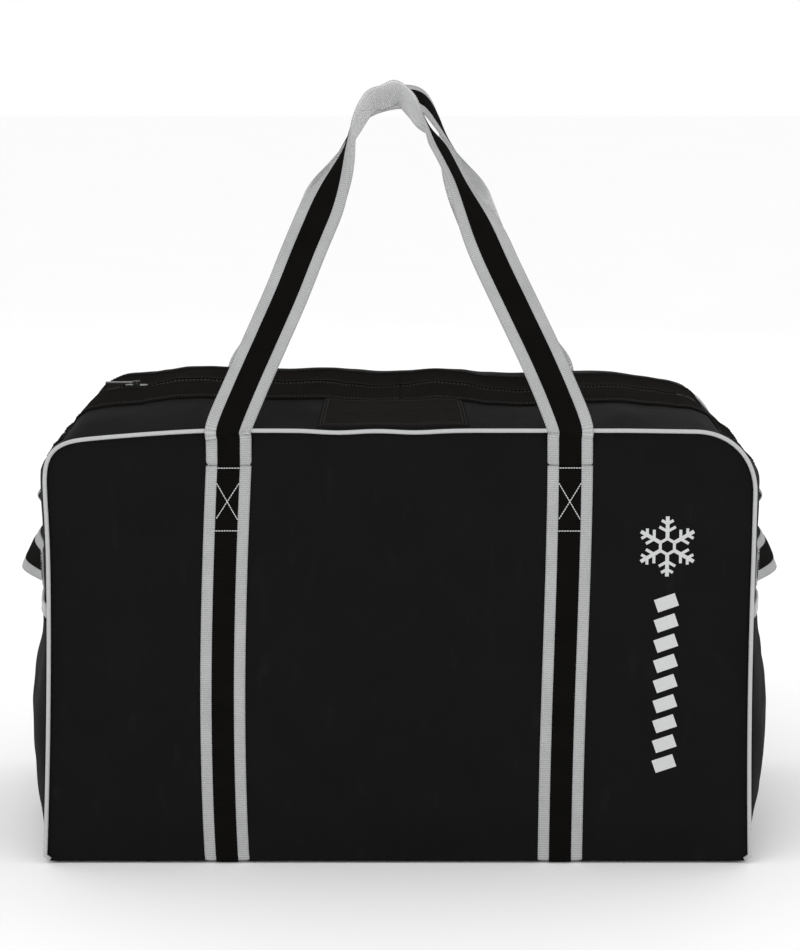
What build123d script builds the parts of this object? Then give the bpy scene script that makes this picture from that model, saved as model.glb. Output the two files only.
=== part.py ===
from build123d import *
import os
from math import sqrt

# Soft-sided hockey carry bag, in millimetres.
# X runs along the bag, Y from its front to its back, Z up. Z = 0 is the floor.

# ---- Driving dimensions: bag body ----
bag_length = 790.0           # front panel, end to end
bag_depth = 430.0            # outside of the front panel to outside of the rear panel
panel_top = 497.0            # height of the piped top edge
corner_radius = 70.0         # rounded top corners of the front and rear panels
foot_radius = 6.0            # small bottom corners of the same panels
panel_thickness = 2.0        # vinyl-coated fabric with its lining
gusset_bow = 15.0            # how far the ends and the top swell at mid-depth

# ---- Driving dimensions: webbing ----
webbing_width = 50.0
webbing_thickness = 2.0
stripe_width = 25.0
stripe_thickness = 0.8
strap_x = 188.0              # centre of each strap, from the middle of the bag
strap_top = 460.0            # where the webbing stops being sewn to the panel

# ---- Driving dimensions: top and zip ----
vinyl_strip_inner = 95.0     # depth where the vinyl strip meets the woven zip panel
zip_slot = 8.0               # half width of the gap between the two woven panels
coil_gap = 0.6               # half of the gap between the two closed zip halves
lid_half_length = 280.0      # part of the top that lifts, each side of the middle
lid_clearance = 0.5          # round every edge that moves
zip_bottom = 364.0           # height of the zip's two ends, on the end panels
zip_tab_bottom = 372.0
slider_x = 308.0             # slider's two ends of travel, from the middle

# ---- Driving dimensions: handles ----
riser_top = 502.0            # webbing stands clear of the piping up to here
handle_lean = 29.4           # degrees from upright, towards the middle of the bag
grip_slope_length = 406.0    # from the riser to the middle of the grip, up the slope
grip_entry = 335.0           # slope length where the legs have turned edge-on
grip_entry_x = 62.0
leg_end_width = 6.0          # what still shows of the leg's width there
grip_thickness = 2.4
end_handle_low = 303.0
end_handle_high = 350.0
end_handle_reach = 36.0      # how far the lower edge stands off the end panel
end_handle_lean = 18.0       # how much less the upper edge stands off
end_handle_half = 112.0      # half of the free length, along the depth
end_patch_length = 38.0      # sewn-down ends of the end handles

# ---- Driving dimensions: end pockets, piping, board ----
pocket_bottom = 12.0
pocket_top = 296.0
pocket_half = 203.0          # half depth of the pocket where it is sewn on
pocket_swell = 22.0          # how far it stands off the end panel at mid-depth
trim_height = 14.0
trim_thickness = 1.2
piping_radius = 2.75
board_length = 750.0
board_depth = 390.0
board_thickness = 3.0
name_patch_left = -93.0
name_patch_right = 77.0

# ---- Derived positions ----
strap_floor = stripe_thickness
panel_floor = strap_floor + webbing_thickness
half_length = bag_length / 2
half_depth = bag_depth / 2
inner_half_depth = half_depth - panel_thickness
corner_x = half_length - corner_radius
corner_z = panel_top - corner_radius
crown_height = corner_z + corner_radius + gusset_bow
piping_y = half_depth + piping_radius
handle_gap = 0.8
riser_y = half_depth + 2 * piping_radius + handle_gap

# Planes seen from the end: local x is the depth, local y points away from the corner axis.
top_section = Plane(origin=(0, 0, corner_z), x_dir=(0, 1, 0), z_dir=(1, 0, 0))
left_corner_section = top_section.offset(-corner_x)
left_end_section = Plane(origin=(-corner_x, 0, 0), x_dir=(0, 1, 0), z_dir=(0, 0, 1))
left_corner_axis = Axis((-corner_x, 0, corner_z), (0, -1, 0))


def gusset_band(depth_a, depth_b, proud=0.0, thickness=panel_thickness, swell=0.0):
    """Cross-section of a strip of the bowed gusset between two depths.

    proud lifts the strip's outer face off the gusset, and swell bows it further out.
    """
    half_chord = inner_half_depth
    bow = gusset_bow + swell
    radius = (half_chord**2 + bow**2) / (2 * bow)
    centre = corner_radius + bow - radius
    outer = radius + proud
    inner = outer - thickness
    depth_mid = (depth_a + depth_b) / 2

    def point(ring, depth):
        return (depth, centre + sqrt(ring**2 - depth**2))

    with BuildSketch() as band:
        with BuildLine():
            ThreePointArc(point(outer, depth_a), point(outer, depth_mid), point(outer, depth_b))
            Line(point(outer, depth_b), point(inner, depth_b))
            ThreePointArc(point(inner, depth_b), point(inner, depth_mid), point(inner, depth_a))
            Line(point(inner, depth_a), point(outer, depth_a))
        make_face()
    return band.sketch


def save(part, name):
    part.label = name
    export_step(part, f"parts/{name}.step")


os.makedirs("parts", exist_ok=True)

# ---- Front and rear panels ----
panel_height = panel_top - panel_floor
panel_middle = (panel_top + panel_floor) / 2

with BuildPart() as front_panel:
    with BuildSketch(Plane.XZ.offset(inner_half_depth)):
        with Locations((0, panel_middle)):
            outline = Rectangle(bag_length, panel_height)
        fillet(outline.vertices().group_by(Axis.Y)[-1], corner_radius)
        fillet(outline.vertices().group_by(Axis.Y)[0], foot_radius)
    extrude(amount=panel_thickness)

with BuildPart() as rear_panel:
    mirror(front_panel.part, about=Plane.XZ)

save(front_panel.part, "front_panel")
save(rear_panel.part, "rear_panel")

# ---- Bottom panel and its stiffening board ----
bottom_seam_gap = 0.1
bottom_x = half_length - panel_thickness - bottom_seam_gap
bottom_bow_x = bottom_x + gusset_bow

with BuildPart() as bottom_panel:
    with BuildSketch(Plane.XY.offset(panel_floor)):
        with BuildLine():
            Line((-bottom_x, -inner_half_depth), (bottom_x, -inner_half_depth))
            ThreePointArc((bottom_x, -inner_half_depth), (bottom_bow_x, 0), (bottom_x, inner_half_depth))
            Line((bottom_x, inner_half_depth), (-bottom_x, inner_half_depth))
            ThreePointArc((-bottom_x, inner_half_depth), (-bottom_bow_x, 0), (-bottom_x, -inner_half_depth))
        make_face()
    extrude(amount=panel_thickness)

with BuildPart() as base_board:
    with BuildSketch(Plane.XY.offset(panel_floor + panel_thickness)):
        RectangleRounded(board_length, board_depth, radius=20)
    extrude(amount=board_thickness)

save(bottom_panel.part, "bottom_panel")
save(base_board.part, "base_board")

# ---- End panels, with a slot where the zip runs down to its end ----
full_band = gusset_band(-inner_half_depth, inner_half_depth)
end_height = corner_z - panel_floor

with BuildPart() as left_end_panel:
    with BuildSketch(left_end_section.offset(panel_floor)):
        add(full_band)
    extrude(amount=end_height)
    with BuildSketch(Plane.YZ.offset(-half_length - 2 * gusset_bow)):
        with Locations((0, corner_z)):
            Rectangle(2 * zip_slot, 2 * (corner_z - zip_bottom))
    extrude(amount=3 * gusset_bow, mode=Mode.SUBTRACT)

with BuildPart() as right_end_panel:
    mirror(left_end_panel.part, about=Plane.YZ)

save(left_end_panel.part, "left_end_panel")
save(right_end_panel.part, "right_end_panel")

# ---- Shoulders: the fixed ends of the top, turning down over the corners ----
shoulder_start = lid_half_length + lid_clearance
shoulder_run = corner_x - shoulder_start
vinyl_band = gusset_band(-inner_half_depth, -vinyl_strip_inner)
woven_band = gusset_band(-vinyl_strip_inner, -zip_slot)
coil_band = gusset_band(-zip_slot, -coil_gap)

with BuildPart() as left_shoulder_gusset:
    with BuildSketch(left_corner_section):
        add(vinyl_band)
    extrude(amount=shoulder_run)
    with BuildSketch(left_corner_section):
        add(vinyl_band)
    revolve(axis=left_corner_axis, revolution_arc=90)
    mirror(about=Plane.XZ)

with BuildPart() as left_shoulder_zip_panel:
    with BuildSketch(left_corner_section):
        add(woven_band)
    extrude(amount=shoulder_run)
    with BuildSketch(left_corner_section):
        add(woven_band)
    revolve(axis=left_corner_axis, revolution_arc=90)
    mirror(about=Plane.XZ)

with BuildPart() as left_zip_end:
    with BuildSketch(left_corner_section):
        add(coil_band)
    extrude(amount=shoulder_run)
    with BuildSketch(left_corner_section):
        add(coil_band)
    revolve(axis=left_corner_axis, revolution_arc=90)
    with BuildSketch(left_end_section.offset(zip_bottom)):
        add(coil_band)
    extrude(amount=corner_z - zip_bottom)
    mirror(about=Plane.XZ)

save(left_shoulder_gusset.part, "left_shoulder_gusset")
save(left_shoulder_zip_panel.part, "left_shoulder_zip_panel")
save(left_zip_end.part, "left_zip_end")

with BuildPart() as right_shoulder_gusset:
    mirror(left_shoulder_gusset.part, about=Plane.YZ)

with BuildPart() as right_shoulder_zip_panel:
    mirror(left_shoulder_zip_panel.part, about=Plane.YZ)

with BuildPart() as right_zip_end:
    mirror(left_zip_end.part, about=Plane.YZ)

save(right_shoulder_gusset.part, "right_shoulder_gusset")
save(right_shoulder_zip_panel.part, "right_shoulder_zip_panel")
save(right_zip_end.part, "right_zip_end")

# ---- Lifting halves of the top: vinyl strip, woven zip panel and zip half ----
lid_section = top_section.offset(-lid_half_length)
lid_front_edge = inner_half_depth - lid_clearance

with BuildPart() as front_lid_gusset:
    with BuildSketch(lid_section):
        add(gusset_band(-lid_front_edge, -vinyl_strip_inner))
    extrude(amount=2 * lid_half_length)

with BuildPart() as front_zip_panel:
    with BuildSketch(lid_section):
        add(woven_band)
    extrude(amount=2 * lid_half_length)

with BuildPart() as front_zip_tape:
    with BuildSketch(lid_section):
        add(coil_band)
    extrude(amount=2 * lid_half_length)

with BuildPart() as name_panel:
    with BuildSketch(top_section.offset(name_patch_left)):
        add(gusset_band(-inner_half_depth + 8, -vinyl_strip_inner - 4, proud=1.2, thickness=1.2))
    extrude(amount=name_patch_right - name_patch_left)

with BuildPart() as rear_lid_gusset:
    mirror(front_lid_gusset.part, about=Plane.XZ)

with BuildPart() as rear_zip_panel:
    mirror(front_zip_panel.part, about=Plane.XZ)

with BuildPart() as rear_zip_tape:
    mirror(front_zip_tape.part, about=Plane.XZ)

save(front_lid_gusset.part, "front_lid_gusset")
save(front_zip_panel.part, "front_zip_panel")
save(front_zip_tape.part, "front_zip_tape")
save(name_panel.part, "name_panel")
save(rear_lid_gusset.part, "rear_lid_gusset")
save(rear_zip_panel.part, "rear_zip_panel")
save(rear_zip_tape.part, "rear_zip_tape")

# ---- Piping round the sides and top of the front and rear panels ----
piping_foot = panel_floor + foot_radius

with BuildPart() as front_piping:
    with BuildLine(Plane.XZ.offset(piping_y)):
        Polyline((-half_length, piping_foot), (-half_length, corner_z))
        RadiusArc((-half_length, corner_z), (-corner_x, panel_top), corner_radius)
        Line((-corner_x, panel_top), (corner_x, panel_top))
        RadiusArc((corner_x, panel_top), (half_length, corner_z), corner_radius)
        Line((half_length, corner_z), (half_length, piping_foot))
    with BuildSketch(Plane(origin=(-half_length, -piping_y, piping_foot), z_dir=(0, 0, 1))):
        Circle(piping_radius)
    sweep()

with BuildPart() as rear_piping:
    mirror(front_piping.part, about=Plane.XZ)

save(front_piping.part, "front_piping")
save(rear_piping.part, "rear_piping")

# ---- Straps: webbing sewn up the front, under the bag and up the rear ----
strap_outer_y = half_depth + webbing_thickness
stripe_outer_y = strap_outer_y + stripe_thickness

with BuildPart() as right_strap:
    with BuildSketch(Plane.YZ.offset(strap_x - webbing_width / 2)):
        with Locations((0, (strap_top + strap_floor) / 2)):
            Rectangle(2 * strap_outer_y, strap_top - strap_floor)
        with Locations((0, (strap_top + panel_floor) / 2)):
            Rectangle(2 * half_depth, strap_top - panel_floor, mode=Mode.SUBTRACT)
    extrude(amount=webbing_width)

with BuildPart() as right_strap_stripe:
    with BuildSketch(Plane.YZ.offset(strap_x - stripe_width / 2)):
        with Locations((0, strap_top / 2)):
            Rectangle(2 * stripe_outer_y, strap_top)
        with Locations((0, (strap_top + strap_floor) / 2)):
            Rectangle(2 * strap_outer_y, strap_top - strap_floor, mode=Mode.SUBTRACT)
    extrude(amount=stripe_width)

with BuildPart() as left_strap:
    mirror(right_strap.part, about=Plane.YZ)

with BuildPart() as left_strap_stripe:
    mirror(right_strap_stripe.part, about=Plane.YZ)

save(right_strap.part, "right_strap")
save(right_strap_stripe.part, "right_strap_stripe")
save(left_strap.part, "left_strap")
save(left_strap_stripe.part, "left_strap_stripe")

# ---- Carry handles: the same webbing, free above the box stitching ----
# Each handle leans in, and its webbing turns to lie across the handle at the grip.
handle_origin = (0, -riser_y - webbing_thickness / 2, riser_top)
handle_plane = Plane(origin=handle_origin, x_dir=(1, 0, 0), z_dir=(0, -1, 0))
handle_plane = handle_plane.rotated((-handle_lean, 0, 0))
grip_rise = grip_slope_length - grip_entry
grip_arc_radius = (grip_entry_x**2 + grip_rise**2) / (2 * grip_rise)
grip_arc_centre = grip_slope_length - grip_arc_radius
grip_outer_radius = grip_arc_radius + grip_thickness / 2
riser_height = riser_top - strap_top
riser_lap = 0.5


def leg_pair(base_width, end_width):
    """Both tapering legs of a handle, drawn in its own plane."""
    with BuildSketch() as legs:
        with BuildLine():
            Polyline(
                (strap_x + base_width / 2, 0),
                (grip_entry_x + end_width / 2, grip_entry),
                (grip_entry_x - end_width / 2, grip_entry),
                (strap_x - base_width / 2, 0),
                close=True,
            )
        make_face()
        mirror(about=Plane.YZ)
    return legs.sketch


def grip_arch(outer, thickness):
    """The arch between the legs, drawn in the handle's own plane."""
    with BuildSketch() as arch:
        with Locations((0, grip_arc_centre)):
            Circle(outer)
            Circle(outer - thickness, mode=Mode.SUBTRACT)
        with Locations((0, grip_entry)):
            Rectangle(bag_length, 2 * grip_entry, align=(Align.CENTER, Align.MAX), mode=Mode.SUBTRACT)
    return arch.sketch


handle_legs = leg_pair(webbing_width, leg_end_width)
stripe_legs = leg_pair(stripe_width, leg_end_width / 2)
handle_arch = grip_arch(grip_outer_radius, grip_thickness)
stripe_arch = grip_arch(grip_outer_radius + stripe_thickness, stripe_thickness)

with BuildPart() as front_handle:
    with BuildSketch(handle_plane.offset(-webbing_thickness / 2)):
        add(handle_legs)
    extrude(amount=webbing_thickness)
    with BuildSketch(handle_plane.offset(-webbing_width / 2)):
        add(handle_arch)
    extrude(amount=webbing_width)
    with BuildSketch(Plane.XZ.offset(riser_y)):
        with Locations((-strap_x, strap_top), (strap_x, strap_top)):
            Rectangle(webbing_width, riser_height + riser_lap, align=(Align.CENTER, Align.MIN))
    extrude(amount=webbing_thickness)

with BuildPart() as front_handle_stripe:
    with BuildSketch(handle_plane.offset(webbing_thickness / 2)):
        add(stripe_legs)
    extrude(amount=stripe_thickness)
    with BuildSketch(handle_plane.offset(-stripe_width / 2)):
        add(stripe_arch)
    extrude(amount=stripe_width)
    with BuildSketch(Plane.XZ.offset(riser_y + webbing_thickness)):
        with Locations((-strap_x, strap_top), (strap_x, strap_top)):
            Rectangle(stripe_width, riser_height, align=(Align.CENTER, Align.MIN))
    extrude(amount=stripe_thickness)
    add(front_handle.part, mode=Mode.SUBTRACT)

with BuildPart() as rear_handle:
    mirror(front_handle.part, about=Plane.XZ)

with BuildPart() as rear_handle_stripe:
    mirror(front_handle_stripe.part, about=Plane.XZ)

save(front_handle.part, "front_handle")
save(front_handle_stripe.part, "front_handle_stripe")
save(rear_handle.part, "rear_handle")
save(rear_handle_stripe.part, "rear_handle_stripe")

# ---- End grab handles: a loop of webbing between two sewn patches ----
patch_far = end_handle_half + end_patch_length
patch_band = gusset_band(end_handle_half, patch_far, webbing_thickness, webbing_thickness)
loop_half = end_handle_half - lid_clearance
loop_start = corner_x + corner_radius + gusset_bow * (1 - (loop_half / inner_half_depth) ** 2) + 0.8
upper_reach = half_length + gusset_bow + end_handle_reach - end_handle_lean
lower_reach = half_length + gusset_bow + end_handle_reach


def loop_outline(reach, thickness):
    """Plan of the left loop: out from one sewn end, along the bag's end and back."""
    with BuildSketch() as plan:
        with BuildLine():
            ThreePointArc((-loop_start, -loop_half), (-reach + thickness, 0), (-loop_start, loop_half))
            Line((-loop_start, loop_half), (-loop_start - thickness, loop_half))
            ThreePointArc(
                (-loop_start - thickness, loop_half),
                (-reach, 0),
                (-loop_start - thickness, -loop_half),
            )
            Line((-loop_start - thickness, -loop_half), (-loop_start, -loop_half))
        make_face()
    return plan.sketch


with BuildPart() as left_end_handle_patches:
    with BuildSketch(left_end_section.offset(end_handle_low)):
        add(patch_band)
        mirror(about=Plane.YZ)
    extrude(amount=end_handle_high - end_handle_low)

with BuildPart() as left_end_handle:
    with BuildSketch(Plane.XY.offset(end_handle_low)):
        add(loop_outline(lower_reach, webbing_thickness))
    with BuildSketch(Plane.XY.offset(end_handle_high)):
        add(loop_outline(upper_reach, webbing_thickness))
    loft(ruled=True)

with BuildPart() as right_end_handle_patches:
    mirror(left_end_handle_patches.part, about=Plane.YZ)

with BuildPart() as right_end_handle:
    mirror(left_end_handle.part, about=Plane.YZ)

save(left_end_handle_patches.part, "left_end_handle_patches")
save(left_end_handle.part, "left_end_handle")
save(right_end_handle_patches.part, "right_end_handle_patches")
save(right_end_handle.part, "right_end_handle")

# ---- Webbing tabs over the two ends of the zip ----
tab_depth = 25.0
tab_reach = 14.0
tab_height = 24.0
tab_x = half_length + gusset_bow + tab_reach / 2
tab_z = zip_tab_bottom + tab_height / 2

with BuildPart() as left_zip_tab:
    with BuildSketch(Plane.XZ.offset(-tab_depth / 2)):
        with Locations((-tab_x, tab_z)):
            RectangleRounded(tab_reach, tab_height, radius=4)
            RectangleRounded(tab_reach - 4, tab_height - 4, radius=2, mode=Mode.SUBTRACT)
    extrude(amount=tab_depth)

with BuildPart() as right_zip_tab:
    mirror(left_zip_tab.part, about=Plane.YZ)

save(left_zip_tab.part, "left_zip_tab")
save(right_zip_tab.part, "right_zip_tab")

# ---- End pockets with a contrasting binding round the mouth ----
pocket_band = gusset_band(-pocket_half, pocket_half, swell=pocket_swell)
trim_band = gusset_band(-pocket_half, pocket_half, trim_thickness, trim_thickness, pocket_swell)
pocket_fill = pocket_swell + panel_thickness
pocket_floor_band = gusset_band(-pocket_half, pocket_half, thickness=pocket_fill, swell=pocket_swell)
end_panel_space = gusset_band(-inner_half_depth, inner_half_depth, thickness=pocket_fill + panel_thickness)

with BuildPart() as left_end_pocket:
    with BuildSketch(left_end_section.offset(pocket_bottom)):
        add(pocket_band)
    extrude(amount=pocket_top - pocket_bottom)
    with BuildSketch(left_end_section.offset(pocket_bottom)):
        add(pocket_floor_band)
    extrude(amount=panel_thickness)
    with BuildSketch(left_end_section.offset(pocket_bottom)):
        add(end_panel_space)
    extrude(amount=pocket_top - pocket_bottom, mode=Mode.SUBTRACT)

with BuildPart() as left_pocket_trim:
    with BuildSketch(left_end_section.offset(pocket_top - trim_height)):
        add(trim_band)
    extrude(amount=trim_height)

with BuildPart() as right_end_pocket:
    mirror(left_end_pocket.part, about=Plane.YZ)

with BuildPart() as right_pocket_trim:
    mirror(left_pocket_trim.part, about=Plane.YZ)

save(left_end_pocket.part, "left_end_pocket")
save(left_pocket_trim.part, "left_pocket_trim")
save(right_end_pocket.part, "right_end_pocket")
save(right_pocket_trim.part, "right_pocket_trim")

# ---- Zip slider and its pull, at the left end of the travel ----
slider_half = 13.0
plate_half = 6.0
plate_thickness = 2.0
coil_clearance = 0.4
blade_half = 0.2
bail_half = 4.0
bail_height = 4.6
pin_rise = 2.5
pin_radius = 1.0
pin_hole_radius = 1.4
cheek_inner = 2.0
cheek_outer = 3.4
cheek_middle = (cheek_inner + cheek_outer) / 2
pull_length = 36.0
pull_thickness = 1.6
pull_half = 4.5
pull_back = 5.2
upper_plate_z = crown_height + coil_clearance
lower_plate_z = crown_height - panel_thickness - coil_clearance - plate_thickness
pin_z = upper_plate_z + plate_thickness + pin_rise
blade_height = upper_plate_z - lower_plate_z

with BuildPart() as zip_slider:
    with BuildSketch(Plane.XY.offset(upper_plate_z)):
        with Locations((-slider_x, 0)):
            RectangleRounded(2 * slider_half, 2 * plate_half, radius=4)
    extrude(amount=plate_thickness)
    with BuildSketch(Plane.XY.offset(lower_plate_z)):
        with Locations((-slider_x, 0)):
            RectangleRounded(2 * slider_half, 2 * plate_half, radius=4)
    extrude(amount=plate_thickness)
    with BuildSketch(Plane.XY.offset(lower_plate_z)):
        with Locations((-slider_x, 0)):
            Rectangle(slider_half, 2 * blade_half)
    extrude(amount=blade_height)
    with BuildSketch(Plane.XY.offset(upper_plate_z + plate_thickness)):
        with Locations((-slider_x, 0)):
            Rectangle(2 * bail_half, 3.0)
    extrude(amount=bail_height)
    with BuildSketch(Plane.XZ.offset(-plate_half)):
        with Locations((-slider_x, pin_z)):
            Circle(pin_hole_radius)
    extrude(amount=2 * plate_half, mode=Mode.SUBTRACT)

with BuildPart() as zip_pull:
    with BuildSketch(Plane.XY.offset(pin_z - pull_thickness / 2)):
        with Locations((-slider_x - pull_back, 0)):
            Rectangle(pull_length - pull_back, 2 * pull_half, align=(Align.MAX, Align.CENTER))
        with Locations((-slider_x, cheek_middle), (-slider_x, -cheek_middle)):
            Rectangle(pull_back + 1, cheek_outer - cheek_inner, align=(Align.MAX, Align.CENTER))
    extrude(amount=pull_thickness)
    with BuildSketch(Plane.XZ.offset(-cheek_outer)):
        with Locations((-slider_x, pin_z)):
            Circle(pin_radius)
    extrude(amount=2 * cheek_outer)

save(zip_slider.part, "zip_slider")
save(zip_pull.part, "zip_pull")
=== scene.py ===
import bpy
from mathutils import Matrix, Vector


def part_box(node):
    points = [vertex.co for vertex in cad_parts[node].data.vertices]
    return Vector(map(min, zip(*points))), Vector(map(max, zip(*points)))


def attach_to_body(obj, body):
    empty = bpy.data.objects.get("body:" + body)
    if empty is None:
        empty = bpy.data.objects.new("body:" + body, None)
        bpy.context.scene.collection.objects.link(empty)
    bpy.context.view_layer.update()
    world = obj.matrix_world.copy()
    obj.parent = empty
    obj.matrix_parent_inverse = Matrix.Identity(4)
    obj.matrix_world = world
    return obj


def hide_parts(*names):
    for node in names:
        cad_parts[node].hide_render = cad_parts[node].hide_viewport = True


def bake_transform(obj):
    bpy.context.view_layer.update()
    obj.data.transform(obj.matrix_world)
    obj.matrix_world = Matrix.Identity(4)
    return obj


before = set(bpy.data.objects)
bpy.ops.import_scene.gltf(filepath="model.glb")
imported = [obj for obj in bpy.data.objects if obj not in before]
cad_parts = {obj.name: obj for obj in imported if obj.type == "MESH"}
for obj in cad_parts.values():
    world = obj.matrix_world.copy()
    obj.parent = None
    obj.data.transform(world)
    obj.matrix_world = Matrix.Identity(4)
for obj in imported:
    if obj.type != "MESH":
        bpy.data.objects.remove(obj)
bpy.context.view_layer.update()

from math import cos, exp, pi, radians, sin, sqrt

import bmesh
import bpy
from mathutils import Vector, noise

# Soft-sided hockey carry bag, in metres. X runs along the bag, front is -Y, the floor is z = 0.
FRONT, REAR = -1, 1
LEFT, RIGHT = -1, 1
FACE_NAMES = {FRONT: "front", REAR: "rear"}
SIDE_NAMES = {LEFT: "left", RIGHT: "right"}

# ---- Places read from the CAD ----
panel_low, panel_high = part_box("front_panel")
half_length = panel_high.x
panel_top = panel_high.z
panel_foot = panel_low.z
panel_y = -panel_low.y
corner_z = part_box("left_end_panel")[1].z
corner = panel_top - corner_z
corner_x = half_length - corner
strip_inner = -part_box("front_lid_gusset")[1].y
slot_half = -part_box("front_zip_panel")[1].y
piping_low, piping_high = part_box("front_piping")
piping_radius = (piping_high.y - piping_low.y) / 2
piping_y = -(piping_high.y + piping_low.y) / 2
strap_low, strap_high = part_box("right_strap")
strap_x = (strap_low.x + strap_high.x) / 2
webbing_half = (strap_high.x - strap_low.x) / 2
stripe_half = (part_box("right_strap_stripe")[1].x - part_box("right_strap_stripe")[0].x) / 2
strap_top = strap_high.z

WEBBING = 0.002  # thickness of the webbing
STRIPE = 0.0008  # thickness of the stripe sewn on it
FABRIC = 0.0016  # thickness of the coated and woven fabrics
SUNK = 0.0002  # how far a layer beds into the one under it
WEB_COLUMNS = 15  # points across the wide webbing


# ---- Camera ----
eye_distance = 3.4  # from the front panel
eye_height = 1.077
eye_pitch = radians(10.5)
lens_length = 118.5
camera_data = bpy.data.cameras.new("camera")
camera_data.lens = lens_length
camera = bpy.data.objects.new("camera", camera_data)
camera.location = (0, -panel_y - eye_distance, eye_height)
camera.rotation_euler = (pi / 2 - eye_pitch, 0, 0)
scene = bpy.context.scene
scene.collection.objects.link(camera)
scene.camera = camera


# ---- Small helpers ----
def mix(a, b, t):
    return a + (b - a) * t


def smooth(t):
    """0 to 1, level at both ends."""
    t = min(max(t, 0.0), 1.0)
    return t * t * (3 - 2 * t)


def bell(x, centre, width):
    """1 at the centre, fading out on both sides."""
    return exp(-(((x - centre) / width) ** 2))


def steps(start, end, count):
    """Evenly spaced numbers, both ends included."""
    return [mix(start, end, i / (count - 1)) for i in range(count)]


def ripple(x, y, seed):
    """A smooth unevenness between -1 and 1."""
    return noise.noise((x, y, seed))


def distances(points):
    """Distance of each point from the first, along them all."""
    marks = [0.0]
    for a, b in zip(points, points[1:]):
        marks.append(marks[-1] + (b - a).length)
    return marks


def directions(path):
    """Direction of a path at each of its points."""
    return [(b - a).normalized() for a, b in zip(path[:1] + path[:-1], path[1:] + path[-1:])]


def smooth_path(points, per_span):
    """A curve through the points, as a list of points."""
    padded = [2 * points[0] - points[1], *points, 2 * points[-1] - points[-2]]
    path = []
    for a, b, c, d in zip(padded, padded[1:], padded[2:], padded[3:]):
        for i in range(per_span):
            t = i / per_span
            path.append(0.5 * (2 * b + (c - a) * t + (2 * a - 5 * b + 4 * c - d) * t**2
                               + (3 * b - a - 3 * c + d) * t**3))
    path.append(points[-1])
    return path


# ---- Node materials ----
class Shader:
    """A material whose pattern follows the cloth's own metres, or the object's where it has none."""

    def __init__(self, name, coordinates="cloth"):
        self.material = bpy.data.materials.new(name)
        self.material.use_nodes = True
        self.tree = self.material.node_tree
        self.surface = self.tree.nodes["Principled BSDF"]
        if coordinates == "cloth":
            self.where = self.node("ShaderNodeUVMap", uv_map="cloth").outputs["UV"]
        else:
            self.where = self.node("ShaderNodeTexCoord").outputs["Object"]

    def node(self, kind, inputs=(), **settings):
        made = self.tree.nodes.new(kind)
        for name, value in settings.items():
            setattr(made, name, value)
        for name, value in dict(inputs).items():
            if isinstance(value, bpy.types.NodeSocket):
                self.tree.links.new(value, made.inputs[name])
            else:
                made.inputs[name].default_value = value
        return made

    def noise(self, scale, detail=3.0, stretch=(1, 1, 1)):
        place = self.node("ShaderNodeMapping", {"Vector": self.where, "Scale": stretch})
        made = self.node("ShaderNodeTexNoise",
                         {"Vector": place.outputs["Vector"], "Scale": scale, "Detail": detail})
        return made.outputs["Fac"]

    def cells(self, scale):
        made = self.node("ShaderNodeTexVoronoi", {"Vector": self.where, "Scale": scale})
        return made.outputs["Distance"]

    def waves(self, pitch, direction, distortion=0.0):
        """Bands at a pitch in metres. Blender's bands repeat every pi / 10 units at scale 1."""
        made = self.node("ShaderNodeTexWave",
                         {"Vector": self.where, "Scale": pi / 10 / pitch, "Distortion": distortion},
                         bands_direction=direction)
        return made.outputs["Fac"]

    def math(self, operation, a, b):
        return self.node("ShaderNodeMath", {0: a, 1: b}, operation=operation).outputs[0]

    def spread(self, value, low, high, out_low, out_high):
        made = self.node("ShaderNodeMapRange", {"Value": value, "From Min": low, "From Max": high,
                                                "To Min": out_low, "To Max": out_high})
        return made.outputs["Result"]

    def colours(self, factor, dark, light):
        made = self.node("ShaderNodeMix", {"Factor": factor}, data_type="RGBA")
        made.inputs[6].default_value = (*dark, 1)
        made.inputs[7].default_value = (*light, 1)
        return made.outputs[2]

    def bumps(self, *layers):
        """Each layer is a height, its depth in metres and its strength."""
        normal = None
        for height, depth, strength in layers:
            inputs = {"Height": height, "Distance": depth, "Strength": strength}
            if normal:
                inputs["Normal"] = normal
            normal = self.node("ShaderNodeBump", inputs).outputs["Normal"]
        self.set(Normal=normal)

    def set(self, **values):
        for name, value in values.items():
            socket = self.surface.inputs[name.replace("_", " ")]
            if isinstance(value, bpy.types.NodeSocket):
                self.tree.links.new(value, socket)
            else:
                socket.default_value = value


def vinyl_material(name, dark, light):
    """Coated fabric: a fine pebbled grain over a soft unevenness, scuffed a little."""
    s = Shader(name)
    soft = s.noise(14, 4)
    grain = s.math("MULTIPLY", s.cells(620), s.noise(240, 2))
    scuffs = s.spread(s.noise(55, 6, (1, 0.35, 1)), 0.6, 0.78, 0.0, 0.5)
    tone = s.math("ADD", s.math("MULTIPLY", soft, 0.5), scuffs)
    s.set(Base_Color=s.colours(tone, dark, light), Roughness=s.spread(soft, 0.3, 0.7, 0.58, 0.7))
    s.set(Specular_IOR_Level=0.012)
    s.bumps((soft, 0.004, 0.25), (grain, 0.0005, 0.35))
    return s.material


def woven_material(name, dark, light, pitch):
    """Plain weave of thick yarns, matt, with yarns of uneven tone. The weave's height also darkens the
    colour where the yarns dip, as painted shade.
    """
    s = Shader(name)
    over = s.math("MULTIPLY", s.waves(pitch, "X", 0.4), s.waves(pitch, "Y", 0.4))
    # Painted shade from the weave's height, darker where the yarns dip under each other, mixed with a
    # random yarn tone.
    yarns = s.math("ADD", s.math("MULTIPLY", over, 0.8),
                   s.math("MULTIPLY", s.noise(300, 2, (0.15, 1, 1)), 0.5))
    s.set(Base_Color=s.colours(yarns, dark, light), Roughness=0.95, Specular_IOR_Level=0.006)
    s.bumps((s.noise(22, 3), 0.003, 0.25), (over, 0.0006, 0.6))
    return s.material


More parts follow.
